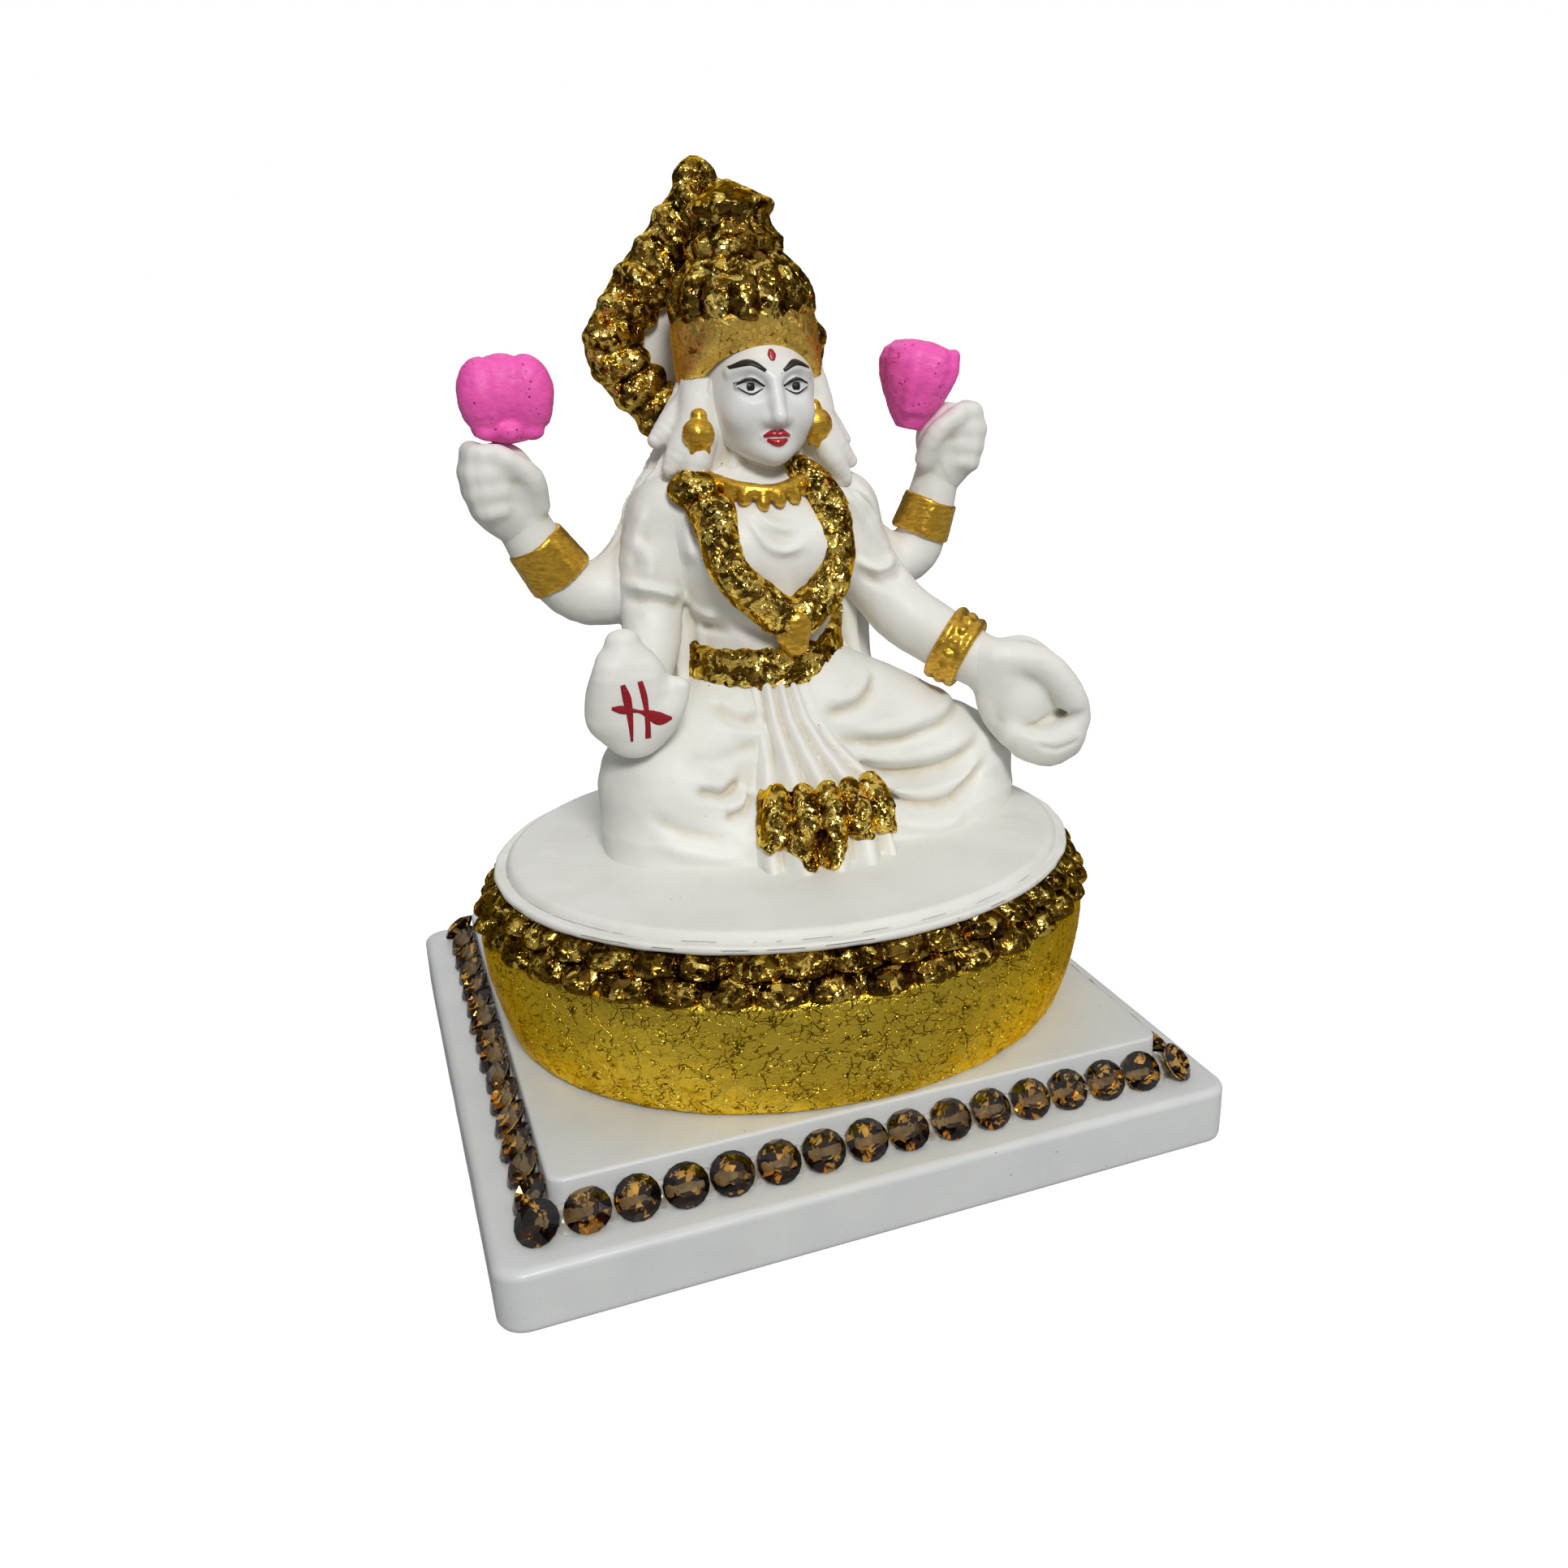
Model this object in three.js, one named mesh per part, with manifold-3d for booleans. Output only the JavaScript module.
// Seated four-armed deity figurine on an oval lotus pedestal and a stepped square base with a
// rhinestone border. Millimetres, +Z up, the figure faces -Y. Origin: centre of the base's underside.
import * as THREE from 'three';
import { mergeVertices } from 'three/addons/utils/BufferGeometryUtils.js';
import Module from 'manifold-3d';

const wasm = await Module();
wasm.setup();

// ---------------------------------------------------------------- driving dimensions

const GAP = 0.3; // clearance kept between two pieces that touch along a curved face

// Stepped square base
const plateSide = 72;
const plateHeight = 6;
const plateCorner = 2.4;
const plateEdge = 0.6;
const ledgeWidth = 5.5; // lower plate left showing round the riser
const riserHeight = 4.2;
const riserCorner = 1.3;
const riserEdge = 0.3;

// Rhinestone border in the step between the two plates
const stoneDiameter = 4;
const stonePitch = 4.2;
const stoneTable = 2.3;
const stoneCrown = 0.8;
const stonePavilion = 1.3;
const stoneSeat = 1.4; // girdle centre from the riser's side and from the ledge
const beadSize = 1.7;

// Oval pedestal
const pedestalMargin = 0.3; // riser edge to the pedestal's foot line, sideways
const pedestalDepthRatio = 0.89;
const pedestalForward = 3.9;
const pedestalRight = 0.3;
const footInset = 0.7;
const wallFlare = 1.8; // how far the wall's top stands out past its foot line
const wallHeight = 12.1;
const coreInset = 4;
const lowerPetalHeight = 2.2;
const upperPetalHeight = 2.1;
const petalPitch = 4.8;
const petalDepth = 0.7;
const ovalSegments = 44;
const petalStep = 0.95;
const lipHeight = 0.9;
const lipInset = 0.1;
const seatHeight = 0.8;
const seatInset = 1.2;

// Figure, in a frame of its own: origin on the seat under the spine
const figureRight = 1;
const figureBack = 6.9; // spine behind the pedestal's centre
const kneeSpan = 46;
const lapHeight = 13.5;
const waistWidth = 16.4;
const torsoHeight = 36; // seat to the top of the shoulders
const shoulderWidth = 21;
const headWidth = 11.8;
const headHeight = 14;
const neckRadius = 3.1;
const armRadius = 2.7;
const wristRadius = 2.3;
const handWidth = 9;
const handLength = 12;
const crownOverhang = 1.1; // how far the crown stands out round the head
const crownHeight = 15.4;
const crownLean = THREE.MathUtils.degToRad(5);
const haloHeight = 22.8;
const haloHalfWidth = 12.4;
const haloThickness = 2.4;
const lotusWidth = 8;
const ornamentThickness = 1.1;
const garlandRadius = 2;

// ---------------------------------------------------------------- materials

function finish(colour, roughness, metalness) {
  return { color: colour, roughness, metalness };
}

const plateResin = finish(0xe4e6ea, 0.45, 0);
const resin = finish(0xf0eeea, 0.6, 0);
const foil = finish(0xc9972b, 0.25, 0.9);
const goldPaint = finish(0xb8821e, 0.35, 0.5);
const pinkPaint = finish(0xf552b4, 0.6, 0);
const stoneGlass = finish(0x5a3a12, 0.08, 0.2);

// ---------------------------------------------------------------- solids

const vec = (x, y, z) => new THREE.Vector3(x, y, z);

// A closed three.js geometry as a solid.
function solid(geometry) {
  const bare = geometry.clone();
  bare.deleteAttribute('normal');
  bare.deleteAttribute('uv');
  const merged = mergeVertices(bare, 1e-4);
  return new wasm.Manifold(new wasm.Mesh({
    numProp: 3,
    vertProperties: new Float32Array(merged.attributes.position.array),
    triVerts: new Uint32Array(merged.index.array),
  }));
}

function union(solids) {
  return solids.reduce((sum, next) => sum.add(next));
}

// The first solid with room cut in it for each of the others, given as functions of a growth.
function carve(body, ...others) {
  return others.reduce((rest, other) => rest.subtract(other(GAP)), body);
}

function ball(centre, radii, grow = 0, turn = [0, 0, 0], fineness = 6) {
  const sphere = new THREE.SphereGeometry(1, 2 * fineness, fineness);
  sphere.scale(radii[0] + grow, radii[1] + grow, radii[2] + grow);
  sphere.rotateX(turn[0]);
  sphere.rotateY(turn[1]);
  sphere.rotateZ(turn[2]);
  sphere.translate(...centre);
  return solid(sphere);
}

function block(low, high) {
  const size = high.map((value, axis) => value - low[axis]);
  const box = new THREE.BoxGeometry(...size);
  box.translate(...low.map((value, axis) => value + size[axis] / 2));
  return solid(box);
}

// A closed skin over rings of points, with a fan to a point at each end.
function skin(rings, start, end) {
  const sides = rings[0].length;
  const points = [...rings.flat(), start, end];
  const faces = [];
  for (let ring = 0; ring + 1 < rings.length; ring += 1) {
    for (let side = 0; side < sides; side += 1) {
      const a = ring * sides + side;
      const b = ring * sides + (side + 1) % sides;
      faces.push(a, b, a + sides, b, b + sides, a + sides);
    }
  }
  const startIndex = rings.length * sides;
  const last = (rings.length - 1) * sides;
  for (let side = 0; side < sides; side += 1) {
    const next = (side + 1) % sides;
    faces.push(startIndex, next, side);
    faces.push(startIndex + 1, last + side, last + next);
  }
  const geometry = new THREE.BufferGeometry().setFromPoints(points);
  geometry.setIndex(faces);
  return solid(geometry);
}

// A round limb along a smooth curve through points of [x, y, z, radius], with domed ends.
function limb(nodes, grow = 0, sides = 8, steps = nodes.length + 3) {
  const curve = new THREE.CatmullRomCurve3(nodes.map(([x, y, z]) => vec(x, y, z)));
  const radiusCurve = new THREE.CatmullRomCurve3(nodes.map((node, i) => vec(i, node[3], 0)));
  const frames = curve.computeFrenetFrames(steps, false);
  const stations = [];
  const domeAngles = [55];
  const addStation = (step, centre, radius) => stations.push({ step, centre, radius });
  const radiusAt = (step) => radiusCurve.getPoint(step / steps).y + grow;
  const tip = (step, sense) => curve.getPointAt(step / steps)
    .addScaledVector(frames.tangents[step], sense * radiusAt(step));
  const dome = (step, sense, angles) => angles.forEach((degrees) => {
    const angle = THREE.MathUtils.degToRad(degrees);
    const centre = curve.getPointAt(step / steps)
      .addScaledVector(frames.tangents[step], sense * radiusAt(step) * Math.sin(angle));
    addStation(step, centre, radiusAt(step) * Math.cos(angle));
  });
  dome(0, -1, domeAngles);
  for (let step = 0; step <= steps; step += 1) {
    addStation(step, curve.getPointAt(step / steps), radiusAt(step));
  }
  dome(steps, 1, [...domeAngles].reverse());
  const rings = stations.map(({ step, centre, radius }) => {
    const ring = [];
    for (let side = 0; side < sides; side += 1) {
      const angle = (2 * Math.PI * side) / sides;
      ring.push(centre.clone()
        .addScaledVector(frames.normals[step], radius * Math.cos(angle))
        .addScaledVector(frames.binormals[step], radius * Math.sin(angle)));
    }
    return ring;
  });
  return skin(rings, tip(0, -1), tip(steps, 1));
}

// A trunk of level ellipses, each [centre x, centre y, height, half width, half depth].
function trunk(sections, grow = 0, sides = 16) {
  const rings = sections.map(([x, y, z, halfWidth, halfDepth]) => {
    const ring = [];
    for (let side = 0; side < sides; side += 1) {
      const angle = (2 * Math.PI * side) / sides;
      ring.push(vec(
        x + (halfWidth + grow) * Math.cos(angle),
        y + (halfDepth + grow) * Math.sin(angle),
        z,
      ));
    }
    return ring;
  });
  const first = sections[0];
  const last = sections[sections.length - 1];
  return skin(rings, vec(first[0], first[1], first[2] - grow), vec(last[0], last[1], last[2] + grow));
}

// A profile of [radius, height] points turned about Z; it starts and ends on the axis or closes.
function turned(profile, segments = 20, depthRatio = 1) {
  const geometry = new THREE.LatheGeometry(
    profile.map(([radius, height]) => new THREE.Vector2(radius, height)),
    segments,
  );
  geometry.rotateX(Math.PI / 2);
  geometry.scale(1, depthRatio, 1);
  return geometry;
}

// ---------------------------------------------------------------- the model's tree

const model = new THREE.Group();

function addPiece(parent, name, body, look) {
  const mesh = body.getMesh();
  const geometry = new THREE.BufferGeometry();
  geometry.setAttribute('position', new THREE.BufferAttribute(mesh.vertProperties, 3));
  geometry.setIndex(new THREE.BufferAttribute(mesh.triVerts, 1));
  geometry.computeVertexNormals();
  const piece = new THREE.Mesh(geometry, new THREE.MeshStandardMaterial(look));
  piece.name = name;
  parent.add(piece);
}

// ---------------------------------------------------------------- stepped base

const riserSide = plateSide - 2 * ledgeWidth;
const riserTop = plateHeight + riserHeight;

// A square slab with corners of a given reach, round or cut, and a broken upper edge.
function slab(side, height, corner, edge, roundSteps) {
  const half = side / 2;
  const shape = new THREE.Shape();
  const turns = [[1, -1], [1, 1], [-1, 1], [-1, -1]];
  turns.forEach(([signX, signY], index) => {
    const centre = [signX * (half - corner), signY * (half - corner)];
    for (let step = 0; step <= roundSteps; step += 1) {
      const angle = (index - 1 + step / roundSteps) * (Math.PI / 2);
      const x = centre[0] + corner * Math.cos(angle);
      const y = centre[1] + corner * Math.sin(angle);
      if (index === 0 && step === 0) {
        shape.moveTo(x, y);
      } else {
        shape.lineTo(x, y);
      }
    }
  });
  shape.closePath();
  const full = new THREE.ExtrudeGeometry(shape, {
    depth: height - 2 * edge,
    bevelThickness: edge,
    bevelSize: edge,
    bevelOffset: -edge,
    bevelSegments: 2,
  });
  full.translate(0, 0, edge);
  return solid(full);
}

addPiece(model, 'base_plate', slab(plateSide, plateHeight, plateCorner, plateEdge, 5), plateResin);

const riserGroup = new THREE.Group();
riserGroup.position.z = plateHeight;
model.add(riserGroup);
addPiece(riserGroup, 'riser_plate', slab(riserSide, riserHeight, riserCorner, riserEdge, 1), plateResin);

// ---------------------------------------------------------------- rhinestone border

const rowReach = riserSide / 2 + stoneSeat; // row line from the base's centre
const stonesPerSide = Math.round((2 * rowReach) / stonePitch);
const stoneStep = (2 * rowReach) / stonesPerSide;

// One stone, table facing out of the step; the row runs along X in front of the riser.
function stoneAt(along, turn) {
  const radius = stoneDiameter / 2;
  const profile = [
    [0, -stonePavilion],
    [radius, 0],
    [stoneTable / 2, stoneCrown],
    [0, stoneCrown],
  ];
  const gem = turned(profile, 6);
  gem.rotateX(Math.PI / 4);
  gem.rotateZ(turn);
  gem.translate(along, -rowReach, plateHeight + stoneSeat);
  return solid(gem);
}

// The glue behind the stones: a three-sided bar in the corner of the step, its right angle inward.
function bead(length) {
  const section = new THREE.Shape([
    new THREE.Vector2(0, 0),
    new THREE.Vector2(beadSize, 0),
    new THREE.Vector2(0, beadSize),
  ]);
  const bar = new THREE.ExtrudeGeometry(section, { depth: length, bevelEnabled: false });
  bar.applyMatrix4(new THREE.Matrix4().makeBasis(vec(0, -1, 0), vec(0, 0, 1), vec(-1, 0, 0)));
  bar.translate(length / 2, -riserSide / 2 - GAP, plateHeight + GAP);
  return solid(bar);
}

// Room for both plates, with the clearance round them.
function plateRoom() {
  const half = plateSide;
  const riserHalf = riserSide / 2 + GAP;
  return block([-half, -half, -1], [half, half, plateHeight + GAP])
    .add(block([-riserHalf, -riserHalf, 0], [riserHalf, riserHalf, riserTop + stoneDiameter]));
}

function stoneRow(withCorners) {
  const skipped = withCorners ? 0 : 1;
  const stones = [];
  for (let index = skipped; index <= stonesPerSide - skipped; index += 1) {
    const corner = index === 0 ? -1 : Number(index === stonesPerSide);
    stones.push(stoneAt(-rowReach + index * stoneStep, corner * (Math.PI / 4)));
  }
  const length = 2 * rowReach - (withCorners ? 0 : 2 * stoneStep);
  return union([bead(length), ...stones]).subtract(plateRoom());
}

['front', 'right', 'back', 'left'].forEach((side, index) => {
  const quarter = new THREE.Group();
  quarter.rotation.z = index * (Math.PI / 2);
  model.add(quarter);
  addPiece(quarter, `stone_row_${side}`, stoneRow(index % 2 === 0), stoneGlass);
});

// ---------------------------------------------------------------- oval pedestal

const footHalf = riserSide / 2 - pedestalMargin;
const wallHalf = footHalf + wallFlare;
const coreHalf = footHalf - coreInset;
const pedestal = new THREE.Group();
pedestal.position.set(pedestalRight, -pedestalForward, riserTop);
model.add(pedestal);

const rimBottom = wallHeight;
const rimMiddle = rimBottom + lowerPetalHeight;
const rimTop = rimMiddle + upperPetalHeight;
const seatBottom = rimTop + lipHeight;
const seatTop = seatBottom + seatHeight;

const drumProfile = [
  [0, 0],
  [footHalf - footInset, 0],
  [footHalf + 0.2 * wallFlare, wallHeight * 0.25],
  [footHalf + 0.7 * wallFlare, wallHeight * 0.55],
  [wallHalf, wallHeight * 0.82],
  [wallHalf - 0.3, wallHeight],
  [coreHalf, wallHeight],
  [coreHalf, rimTop],
  [0, rimTop],
];
addPiece(pedestal, 'pedestal_drum', solid(turned(drumProfile, ovalSegments, pedestalDepthRatio)), foil);

const petalCount = Math.round((Math.PI * wallHalf * (1 + pedestalDepthRatio)) / petalPitch);

// A ring of petals: its outer edge swings in between one petal and the next.
function petalRing(bottom, top, bottomHalf, topHalf) {
  const inner = coreHalf + GAP;
  const middle = (bottom + top) / 2;
  const swell = 0.35;
  const ring = turned([
    [inner, bottom],
    [bottomHalf, bottom],
    [(bottomHalf + topHalf) / 2 + swell, middle],
    [topHalf, top],
    [inner, top],
    [inner, bottom],
  ], petalCount * 2);
  const position = ring.attributes.position;
  for (let i = 0; i < position.count; i += 1) {
    const x = position.getX(i);
    const y = position.getY(i);
    const radius = Math.hypot(x, y);
    const notch = radius > inner + 0.01 ? 1 - Math.abs(Math.cos((petalCount / 2) * Math.atan2(y, x))) : 0;
    const scale = (radius - petalDepth * notch) / radius;
    position.setXY(i, x * scale, y * scale);
  }
  ring.scale(1, pedestalDepthRatio, 1);
  return solid(ring);
}

addPiece(pedestal, 'petal_rim_lower',
  petalRing(rimBottom, rimMiddle, wallHalf + 0.1, wallHalf - 0.2), foil);
addPiece(pedestal, 'petal_rim_upper',
  petalRing(rimMiddle, rimTop, wallHalf - petalStep, wallHalf - 2 * petalStep), foil);

const lipHalf = wallHalf - 2 * petalStep + lipInset;
addPiece(pedestal, 'seat_lip', solid(turned([
  [0, rimTop],
  [lipHalf - 0.3, rimTop],
  [lipHalf, rimTop + lipHeight * 0.4],
  [lipHalf - 0.2, seatBottom],
  [0, seatBottom],
], ovalSegments, pedestalDepthRatio)), resin);
const discHalf = lipHalf - seatInset;
addPiece(pedestal, 'seat_disc', solid(turned([
  [0, seatBottom],
  [discHalf, seatBottom],
  [discHalf, seatTop - 0.3],
  [discHalf - 0.4, seatTop],
  [0, seatTop],
], ovalSegments, pedestalDepthRatio)), resin);

// ---------------------------------------------------------------- figure: lap, torso and head

const figure = new THREE.Group();
figure.position.set(figureRight - pedestalRight, figureBack, seatTop);
pedestal.add(figure);

const kneeReach = kneeSpan / 2;
const lapX = 2.4; // the lap's middle stands a little right of the spine
const lapFront = -16;

function legs(grow) {
  const lift = lapHeight / 2;
  const bodies = union([
    ball([lapX - kneeReach + 10, -5, lift - 0.6], [10, 10.2, lift + 0.8], grow, [0, 0, 0.35]),
    ball([lapX + kneeReach - 10.4, -5, lift - 1.2], [10.4, 9.6, lift + 0.4], grow, [0, 0, -0.35]),
    ball([lapX - 1.5, 0, lift], [14, 10.5, lift + 2], grow),
    ball([lapX, lapFront + 6.4, 3.6], [kneeReach - 5.5, 6.2, 4.6], grow),
    ball([8.5, -1.5, lift + 5.6], [9.5, 7.5, 6.6], grow),
    trunk([
      [lapX - 1, lapFront + 11.8, -1, kneeReach - 2.6, 11.8],
      [lapX - 1, lapFront + 11.8, 2.4, kneeReach - 2, 11.9],
      [lapX - 1, lapFront + 12, 5.4, kneeReach - 4, 10.4],
    ], grow),
  ]);
  return bodies.intersect(block([-60, -60, 0], [60, 60, 60]));
}

const waistZ = lapHeight + 4.8;
const shoulderZ = torsoHeight - 3.5;
const waistHalf = waistWidth / 2;
const shoulderHalf = shoulderWidth / 2;

function torso(grow) {
  return trunk([
    [0, 0.4, lapHeight - 1, waistHalf + 2, 7.6],
    [0, 0.2, waistZ - 1, waistHalf, 6.6],
    [-0.2, 0, waistZ + 3, waistHalf + 0.4, 6.7],
    [-0.4, -0.4, waistZ + 8, waistHalf + 1.6, 7.3],
    [-0.4, 0, shoulderZ - 2, shoulderHalf - 0.6, 6.8],
    [-0.3, 0.4, shoulderZ, shoulderHalf - 0.4, 5.8],
    [-0.2, 0.6, shoulderZ + 2, shoulderHalf - 3, 4.9],
    [0, 0.6, torsoHeight, neckRadius + 2, 3.9],
  ], grow);
}

const headX = -0.3;
const chinZ = torsoHeight + 2;
const headMiddle = chinZ + headHeight / 2;
const headHalf = headWidth / 2;
const crownRadius = headHalf + crownOverhang;

function head(grow) {
  return union([
    ball([headX, 0, headMiddle + 0.8], [headHalf, headHalf + 0.5, headHeight / 2 - 0.6], grow),
    ball([headX, -1.6, headMiddle - 2.8], [headHalf - 1.5, headHalf - 1.6, headHeight / 2 - 3], grow),
    ball([headX, -headHalf - 0.1, headMiddle - 1.2], [0.8, 0.9, 1.5], grow, [-0.25, 0, 0]),
    limb([
      [headX + 0.3, 0.5, torsoHeight - 2, neckRadius],
      [headX + 0.2, 0.3, chinZ + 2, neckRadius],
    ], grow),
  ]);
}

// ---------------------------------------------------------------- figure: arms and hands

const backElbowZ = shoulderZ - 7;
const backBraceletZ = backElbowZ + 5;

const backArmLines = {
  left: [
    [-shoulderHalf + 1.5, 3.2, shoulderZ - 4, armRadius + 0.8],
    [-15.5, 3, backElbowZ, armRadius + 0.7],
    [-20, 2.6, backElbowZ + 0.6, armRadius + 0.3],
    [-23, 2.2, backBraceletZ, armRadius - 0.2],
    [-24.6, 2, backBraceletZ + 4.2, wristRadius],
  ],
  right: [
    [shoulderHalf - 1.5, 3.2, shoulderZ - 4, armRadius + 0.6],
    [14, 3, backElbowZ + 1, armRadius + 0.4],
    [17.8, 2.6, backElbowZ + 2, armRadius + 0.2],
    [19.6, 2.2, backBraceletZ + 2, armRadius - 0.2],
    [20.6, 2, backBraceletZ + 5, wristRadius],
  ],
};
const backHandSpots = { left: [-25.5, 1.8, backBraceletZ + 6.8], right: [21.3, 1.8, backBraceletZ + 8.8] };

const frontArmLines = {
  left: [
    [-shoulderHalf + 0.2, 0.8, shoulderZ - 0.5, armRadius + 0.8],
    [-12.2, -0.3, shoulderZ - 6.5, armRadius + 0.3],
    [-13, -2.5, 20.5, armRadius],
    [-15, -6.5, 16.6, armRadius - 0.3],
    [-16.6, -9.6, 15, wristRadius],
  ],
  right: [
    [shoulderHalf - 1.6, 0.5, shoulderZ - 0.5, armRadius + 0.3],
    [11, -0.5, shoulderZ - 6.5, armRadius + 0.1],
    [13.8, -2.5, 22.2, armRadius + 0.1],
    [17, -5.5, 19.6, armRadius - 0.2],
    [20, -8, 17.6, wristRadius],
  ],
};

const backArm = (side) => (grow) => limb(backArmLines[side], grow);
const frontArm = (side) => (grow) => limb(frontArmLines[side], grow);

function fist(side) {
  const [x, y, z] = backHandSpots[side];
  const half = handWidth / 2;
  const fingers = [];
  for (let finger = 0; finger < 4; finger += 1) {
    const height = z - 1.6 + finger * 1.5;
    fingers.push([[x, y - 2.4, height], [half - 0.5 - 0.15 * finger, 1.3, 0.95]]);
  }
  return (grow) => union([
    ball([x, y, z], [half, 3.1, 4.4], grow),
    ...fingers.map(([centre, radii]) => ball(centre, radii, grow, [0, 0, 0], 4)),
  ]);
}

// An open hand seen palm first: a palm pad, four fingers and a thumb, given along an axis frame.
function openHand(wrist, along, across, curl) {
  const point = (u, v, w) => {
    const normal = along.clone().cross(across);
    return wrist.clone().addScaledVector(along, u).addScaledVector(across, v).addScaledVector(normal, w);
  };
  const node = (u, v, w, radius) => [...point(u, v, w).toArray(), radius];
  const half = handWidth / 2;
  return (grow) => {
    const pieces = [];
    for (let finger = 0; finger < 4; finger += 1) {
      const v = -half + 1.1 + finger * ((handWidth - 2.2) / 3);
      const reach = handLength - 0.5 - Math.abs(finger - 1.6) * 0.8;
      pieces.push(limb([
        node(0.6, v * 0.55, 0, 1.6),
        node(5, v, 0, 1.35),
        node(reach - 2.2, v, curl * 0.5, 1.15),
        node(reach - 0.9, v * 0.96, curl * 1.6, 0.95),
      ], grow, 6, 3));
    }
    pieces.push(limb([
      node(1.2, -half * 0.5, curl * 0.3, 1.5),
      node(3.6, -half - 0.2, curl * 0.7, 1.15),
      node(6, -half - 0.9, curl * 0.9, 0.9),
    ], grow, 6, 3));
    return union(pieces);
  };
}

const frontHands = {
  left: openHand(vec(-17, -11.2, 13), vec(-0.06, -0.1, 0.99).normalize(),
    vec(-0.94, 0.34, 0.02).normalize(), -1),
  right: openHand(vec(21.6, -9.4, 16), vec(0.72, -0.18, -0.67).normalize(),
    vec(-0.66, -0.2, -0.72).normalize(), 1),
};

// ---------------------------------------------------------------- figure: white pieces

addPiece(figure, 'crossed_legs', legs(0), resin);
addPiece(figure, 'torso', carve(torso(0), legs), resin);
addPiece(figure, 'head', carve(head(0), torso), resin);

['left', 'right'].forEach((side) => {
  addPiece(figure, `front_arm_${side}`, carve(frontArm(side)(0), torso, legs), resin);
  addPiece(figure, `back_arm_${side}`, carve(backArm(side)(0), torso, frontArm(side)), resin);
  addPiece(figure, `front_hand_${side}`, carve(frontHands[side](0), frontArm(side), legs), resin);
  addPiece(figure, `back_hand_${side}`, carve(fist(side)(0), backArm(side)), resin);
});

// ---------------------------------------------------------------- figure: dress

const pleatTop = waistZ - 3.2;
const hemTop = 7.2;
const hemFront = lapFront - 3.4;

// The line down the middle of the pleats, as [x, y, z, half width].
const pleatLine = [
  [-0.6, -7.6, pleatTop, 2.2],
  [-0.5, -10.6, pleatTop - 3, 3],
  [0, -14, pleatTop - 6.6, 4.6],
  [0.2, hemFront + 1.6, hemTop - 1.6, 6.2],
];

// A hanging fan of folds with a level back, as a skin over rings across the line.
function pleats(grow) {
  const folds = 4;
  const across = 13;
  const thickness = 1.3;
  const curve = new THREE.CatmullRomCurve3(pleatLine.map(([x, y, z]) => vec(x, y, z)));
  const widths = new THREE.CatmullRomCurve3(pleatLine.map((node, i) => vec(i, node[3], 0)));
  const steps = 6;
  const rings = [];
  for (let step = 0; step <= steps; step += 1) {
    const centre = curve.getPoint(step / steps);
    const half = widths.getPoint(step / steps).y + grow;
    const slope = curve.getTangent(step / steps);
    const outward = vec(0, slope.z, -slope.y).normalize();
    const ring = [];
    for (let i = 0; i < across; i += 1) {
      const u = (2 * i) / (across - 1) - 1;
      const fold = 0.45 * Math.cos(u * folds * Math.PI) - 0.9 * u * u;
      ring.push(centre.clone().add(vec(u * half, 0, 0)).addScaledVector(outward, thickness + fold + grow));
    }
    for (let i = across - 1; i >= 0; i -= 3) {
      const u = (2 * i) / (across - 1) - 1;
      ring.push(centre.clone().add(vec(u * half, 0, 0)).addScaledVector(outward, -2 * thickness - grow));
    }
    rings.push(ring.reverse());
  }
  const middle = (ring) => ring.reduce((sum, point) => sum.add(point), vec(0, 0, 0))
    .divideScalar(ring.length);
  return skin(rings, middle(rings[0]), middle(rings[steps]));
}

function hem() {
  const lobes = [];
  const lobeCount = 4;
  const span = 11.4;
  for (let i = 0; i < lobeCount; i += 1) {
    const u = i / (lobeCount - 1) - 0.5;
    lobes.push(ball([0.2 + u * span, hemFront + 2.2 * u * u, hemTop - 2.4],
      [2.1, 1.9, 2.4], 0, [0, 0.5 * u, 0], 4));
    lobes.push(ball([0.2 + u * span * 0.86, hemFront - 0.1 + 2.2 * u * u, hemTop - 4.8],
      [1.8, 1.6, 2], 0, [0, 0.5 * u, 0], 4));
  }
  lobes.push(ball([0.2, hemFront + 0.3, 1.9], [1.4, 1.3, 1.8], 0, [0, 0, 0], 4));
  return union(lobes);
}

addPiece(figure, 'sari_pleats', carve(pleats(0), legs, torso), resin);
addPiece(figure, 'pleat_hem', carve(hem(), pleats, legs), foil);

// A band round the front of a trunk section, between two heights.
function frontBand(shape, low, high, halfSpan, depthBehind) {
  const band = shape(ornamentThickness + GAP).subtract(shape(GAP));
  return band.intersect(block([-halfSpan, -30, low], [halfSpan, depthBehind, high]));
}

const garlandBottomZ = waistZ + 4.4;
const garlandLine = [
  [-7.6, -1.6, torsoHeight + 0.4, garlandRadius],
  [-7.6, -5.2, shoulderZ - 0.5, garlandRadius],
  [-5.8, -8, shoulderZ - 5, garlandRadius],
  [-3.2, -8.6, garlandBottomZ + 2.6, garlandRadius],
  [-0.2, -8.8, garlandBottomZ, garlandRadius],
  [3.2, -8.6, garlandBottomZ + 2.6, garlandRadius],
  [5, -8, shoulderZ - 5, garlandRadius],
  [5.6, -5.6, shoulderZ - 0.5, garlandRadius],
  [5.8, -2, torsoHeight + 0.4, garlandRadius],
];

function garland(grow) {
  return limb(garlandLine, grow, 7, 16);
}

function pendant(grow) {
  return ball([-0.3, -8.6, garlandBottomZ - 1.7], [2.1, 1.3, 1.9], grow, [0, 0, 0], 6);
}

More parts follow.
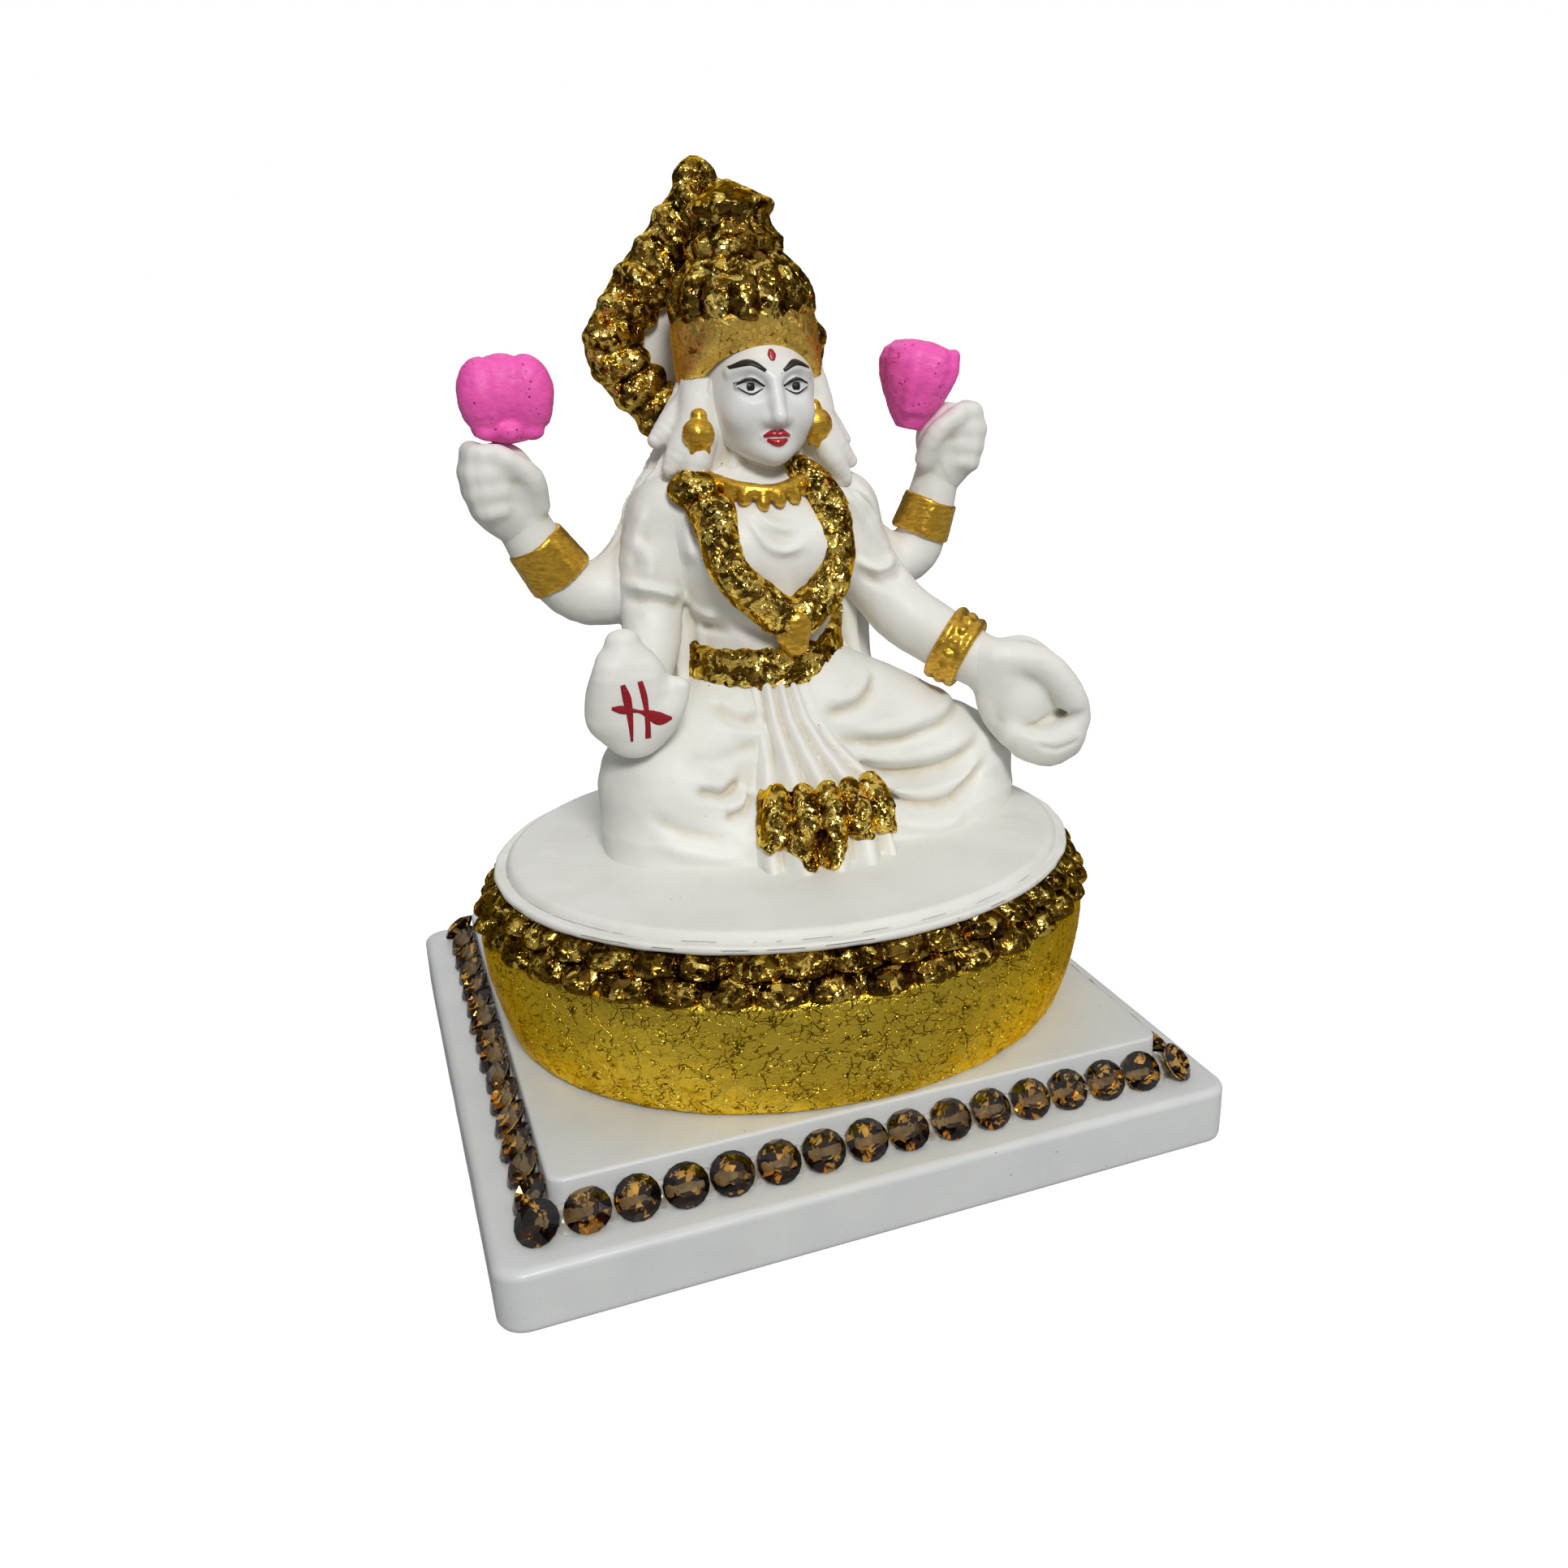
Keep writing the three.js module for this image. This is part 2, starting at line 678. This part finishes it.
addPiece(figure, 'waist_belt',
  carve(frontBand(torso, waistZ - 2.1, waistZ + 2.1, waistHalf + 3, 0), legs, pleats, pendant), foil);
addPiece(figure, 'garland',
  carve(garland(0), torso, head, frontArm('left'), frontArm('right')), foil);
addPiece(figure, 'garland_pendant', carve(pendant(0), garland, torso), foil);

function choker(grow) {
  const neckAxis = [headX + 0.2, 0.2];
  const ring = turned([
    [neckRadius, torsoHeight - 2 - grow],
    [neckRadius + 2.4 + grow, torsoHeight - 2 - grow],
    [neckRadius + 1.4 + grow, torsoHeight + 0.7 + grow],
    [neckRadius, torsoHeight + 1.2 + grow],
    [neckRadius, torsoHeight - 2 - grow],
  ]);
  ring.translate(...neckAxis, 0);
  return solid(ring).intersect(block([-20, -20, 0], [20, 1.5 + grow, 60]));
}

addPiece(figure, 'choker', carve(choker(0), head, torso, garland), goldPaint);

['left', 'right'].forEach((side) => {
  const sign = side === 'left' ? -1 : 1;
  const lobeX = headX + sign * (headHalf + 0.1);
  const drop = union([
    ball([lobeX, -1.2, chinZ + 2.6], [1.5, 1.5, 1.5], 0, [0, 0, 0], 6),
    ball([lobeX, -1.2, chinZ + 4.2], [0.9, 0.9, 0.9], 0, [0, 0, 0], 5),
  ]);
  addPiece(figure, `earring_${side}`, carve(drop, head), goldPaint);
});

// ---------------------------------------------------------------- figure: crown and halo

const crownBase = chinZ + headHeight * 0.75;
const crownX = headX - 0.8;
const domeHeight = crownHeight * 0.35;
const crownNeckHeight = crownHeight * 0.2;

// A turned piece on the crown's own leaning axis.
function onCrown(geometry, grow = 0) {
  geometry.rotateY(-crownLean);
  geometry.translate(crownX, 0.4, crownBase - grow);
  return solid(geometry);
}

const crownBandTop = 3.2;
const crownStep = 0.5;

function crownBand(grow) {
  return onCrown(turned([
    [0, -1.6 - grow],
    [crownRadius + grow, -1.6 - grow],
    [crownRadius + 0.2 + grow, crownBandTop * 0.5],
    [crownRadius - 0.2 + grow, crownBandTop + grow],
    [0, crownBandTop + grow],
  ], 28));
}

function crownDome(grow) {
  const top = crownBandTop + domeHeight;
  return onCrown(turned([
    [0, crownBandTop + GAP - grow],
    [crownRadius - crownStep + grow, crownBandTop + GAP - grow],
    [crownRadius - 0.6 + grow, crownBandTop + domeHeight * 0.3],
    [crownRadius - 1.4 + grow, crownBandTop + domeHeight * 0.64],
    [crownRadius - 3.2 + grow, top + grow],
    [0, top + grow],
  ], 28));
}

function crownFinial() {
  const bottom = crownBandTop + domeHeight + GAP;
  const neck = crownRadius - 3.9;
  const rim = bottom + crownNeckHeight;
  return onCrown(turned([
    [0, bottom],
    [neck + 0.3, bottom],
    [neck + 0.5, bottom + 0.6],
    [neck - 0.2, bottom + 1.2],
    [neck + 0.2, bottom + 1.8],
    [neck - 0.3, rim - 0.4],
    [neck + 0.9, rim],
    [neck + 0.7, rim + 0.7],
    [0.6, crownHeight - 0.1],
    [0, crownHeight],
  ], 24));
}

addPiece(figure, 'crown_band', carve(crownBand(0), head), foil);
addPiece(figure, 'crown_dome', carve(crownDome(0), head), foil);
addPiece(figure, 'crown_finial', crownFinial(), foil);

const haloX = headX - 2.6;
const haloBottom = chinZ + 1.6;
const haloFront = headHalf + 1.6;
const haloBack = haloFront + haloThickness;

// The halo's outline from its foot up to its point, as shares of its half width and height.
const haloOutline = [[0.5, 0], [0.8, 0.14], [1, 0.35], [0.96, 0.52], [0.78, 0.66], [0.5, 0.84], [0.17, 1]];

function haloPoint(share, side, inset) {
  const curve = new THREE.CatmullRomCurve3(haloOutline.map(([x, z]) => (
    vec(x * (haloHalfWidth - inset), 0, z * (haloHeight - inset)))));
  const point = curve.getPointAt(share);
  return vec(haloX + side * point.x, 0, haloBottom + inset * (1 - share) + point.z);
}

function haloPlate(grow) {
  const steps = 12;
  const outline = [];
  for (let step = 0; step <= steps; step += 1) {
    outline.push(haloPoint(step / steps, 1, 3 - grow));
  }
  for (let step = steps; step >= 0; step -= 1) {
    outline.push(haloPoint(step / steps, -1, 3 - grow));
  }
  const shape = new THREE.Shape(outline.map((point) => new THREE.Vector2(point.x, point.z)));
  const plate = new THREE.ExtrudeGeometry(shape, {
    depth: haloThickness + 2 * grow,
    bevelEnabled: false,
  });
  plate.rotateX(Math.PI / 2);
  plate.translate(0, haloBack + grow, 0);
  return solid(plate);
}

const lobesPerSide = 8;

function haloBorder(grow) {
  const lobes = [];
  const middleY = (haloFront + haloBack) / 2;
  [-1, 1].forEach((side) => {
    for (let i = 0; i < lobesPerSide; i += 1) {
      const share = 0.03 + (0.93 * i) / (lobesPerSide - 1);
      const broad = 1 - 0.42 * Math.abs(share - 0.4) / 0.6;
      const centre = haloPoint(share, side, 2.2 * broad);
      const outer = haloPoint(share, side, 0);
      const lean = Math.atan2(outer.z - centre.z, outer.x - centre.x);
      lobes.push(ball([centre.x, middleY, centre.z],
        [2.8 * broad, haloThickness / 2 + 0.7, 1.9], grow, [0, -lean, 0], 4));
    }
  });
  const tip = haloPoint(1, 1, 0);
  lobes.push(ball([haloX, middleY, tip.z - 0.2], [2.1, haloThickness / 2 + 0.5, 1.9], grow, [0, 0, 0], 6));
  return union(lobes);
}

function haloBulb() {
  const tip = haloPoint(1, 1, 0);
  return ball([haloX, (haloFront + haloBack) / 2, tip.z + 1.9], [2.1, 1.9, 2.1]);
}

addPiece(figure, 'halo_border', haloBorder(0), foil);
addPiece(figure, 'halo_plate', carve(haloPlate(0), haloBorder, head, crownBand, crownDome), resin);
addPiece(figure, 'halo_bulb', carve(haloBulb(), haloBorder), foil);

// ---------------------------------------------------------------- figure: what the hands hold

const lotusHalf = lotusWidth / 2;
const lotusLean = { left: 0.12, right: -0.55 };

function lotus(side) {
  const [handX, handY, handZ] = backHandSpots[side];
  const lean = lotusLean[side];
  const lift = handZ + 4 + lotusHalf * 0.75;
  const petals = [ball([0, 0, 0], [lotusHalf * 0.82, lotusHalf * 0.7, lotusHalf], 0)];
  const petalTotal = 5;
  for (let i = 0; i < petalTotal; i += 1) {
    const angle = (2 * Math.PI * i) / petalTotal - Math.PI / 2;
    petals.push(ball([Math.cos(angle) * lotusHalf * 0.36, Math.sin(angle) * lotusHalf * 0.3, -0.2],
      [lotusHalf * 0.62, lotusHalf * 0.5, lotusHalf * 0.95], 0, [0, 0, angle], 4));
  }
  const cosine = Math.cos(lean);
  const sine = Math.sin(lean);
  return union(petals).transform([
    cosine, 0, -sine, 0, 0, 1, 0, 0, sine, 0, cosine, 0,
    handX + lotusHalf * 1.5 * sine, handY, lift, 1,
  ]);
}

// A ring round a limb between two shares of its length.
function cuff(line, from, to) {
  const curve = new THREE.CatmullRomCurve3(line.map(([x, y, z]) => vec(x, y, z)));
  const radiusCurve = new THREE.CatmullRomCurve3(line.map((node, i) => vec(i, node[3], 0)));
  const profileSteps = 2;
  const nodes = [];
  for (let step = 0; step <= profileSteps; step += 1) {
    const share = from + ((to - from) * step) / profileSteps;
    nodes.push({ centre: curve.getPointAt(share), radius: radiusCurve.getPoint(share).y });
  }
  const middle = nodes[1];
  const axis = nodes[profileSteps].centre.clone().sub(nodes[0].centre);
  const half = axis.length() / 2;
  const inner = middle.radius - 0.6;
  const outer = middle.radius + ornamentThickness;
  const ring = turned([
    [inner, -half],
    [outer - 0.2, -half],
    [outer, 0],
    [outer - 0.2, half],
    [inner, half],
    [inner, -half],
  ], 20);
  const turn = new THREE.Quaternion().setFromUnitVectors(vec(0, 0, 1), axis.normalize());
  ring.applyQuaternion(turn);
  ring.translate(...middle.centre.toArray());
  return solid(ring);
}

['left', 'right'].forEach((side) => {
  addPiece(figure, `lotus_bud_${side}`, carve(lotus(side), fist(side)), pinkPaint);
  addPiece(figure, `bracelet_${side}`,
    carve(cuff(backArmLines[side], 0.66, 0.84), backArm(side)), goldPaint);
});
addPiece(figure, 'bangle_right',
  carve(cuff(frontArmLines.right, 0.78, 0.95), frontArm('right'), frontHands.right), goldPaint);

// ---------------------------------------------------------------- figure: hair and drape

const lockFromShoulder = 1.7; // the lock's foot in from the shoulder's widest point

const hairLock = (side) => (grow) => {
  const sign = side === 'left' ? -1 : 1;
  return limb([
    [headX + sign * (headHalf + 0.9), 3, chinZ + 4, 1.5],
    [headX + sign * (headHalf + 2.2), 2, chinZ + 1, 1.8],
    [headX + sign * (shoulderHalf - lockFromShoulder), 0.4, torsoHeight - 1.2, 1.5],
  ], grow);
};

['left', 'right'].forEach((side) => {
  addPiece(figure, `hair_lock_${side}`,
    carve(hairLock(side)(0), head, torso, frontArm(side), garland, haloBorder, haloPlate), resin);
});

function drape() {
  return trunk([
    [0, 4.6, 0, shoulderHalf + 1, 7.6],
    [0, 4.6, lapHeight, shoulderHalf, 6.4],
    [-0.4, 4, waistZ + 4, waistHalf + 1.2, 5.6],
    [-0.4, 3.6, shoulderZ - 3, shoulderHalf - 0.4, 5.6],
    [-0.4, 3.6, shoulderZ + 1, shoulderHalf - 1, 5],
    [-0.4, 4, chinZ + 3, headHalf + 1.6, 4.4],
    [-0.4, 4.4, headMiddle + 2, headHalf, 3.6],
  ]);
}

addPiece(figure, 'drape_back',
  carve(drape(), legs, torso, head, haloPlate, haloBorder, backArm('left'), backArm('right'),
    frontArm('left'), frontArm('right'), crownBand, hairLock('left'), hairLock('right'),
    choker), resin);

export default model;
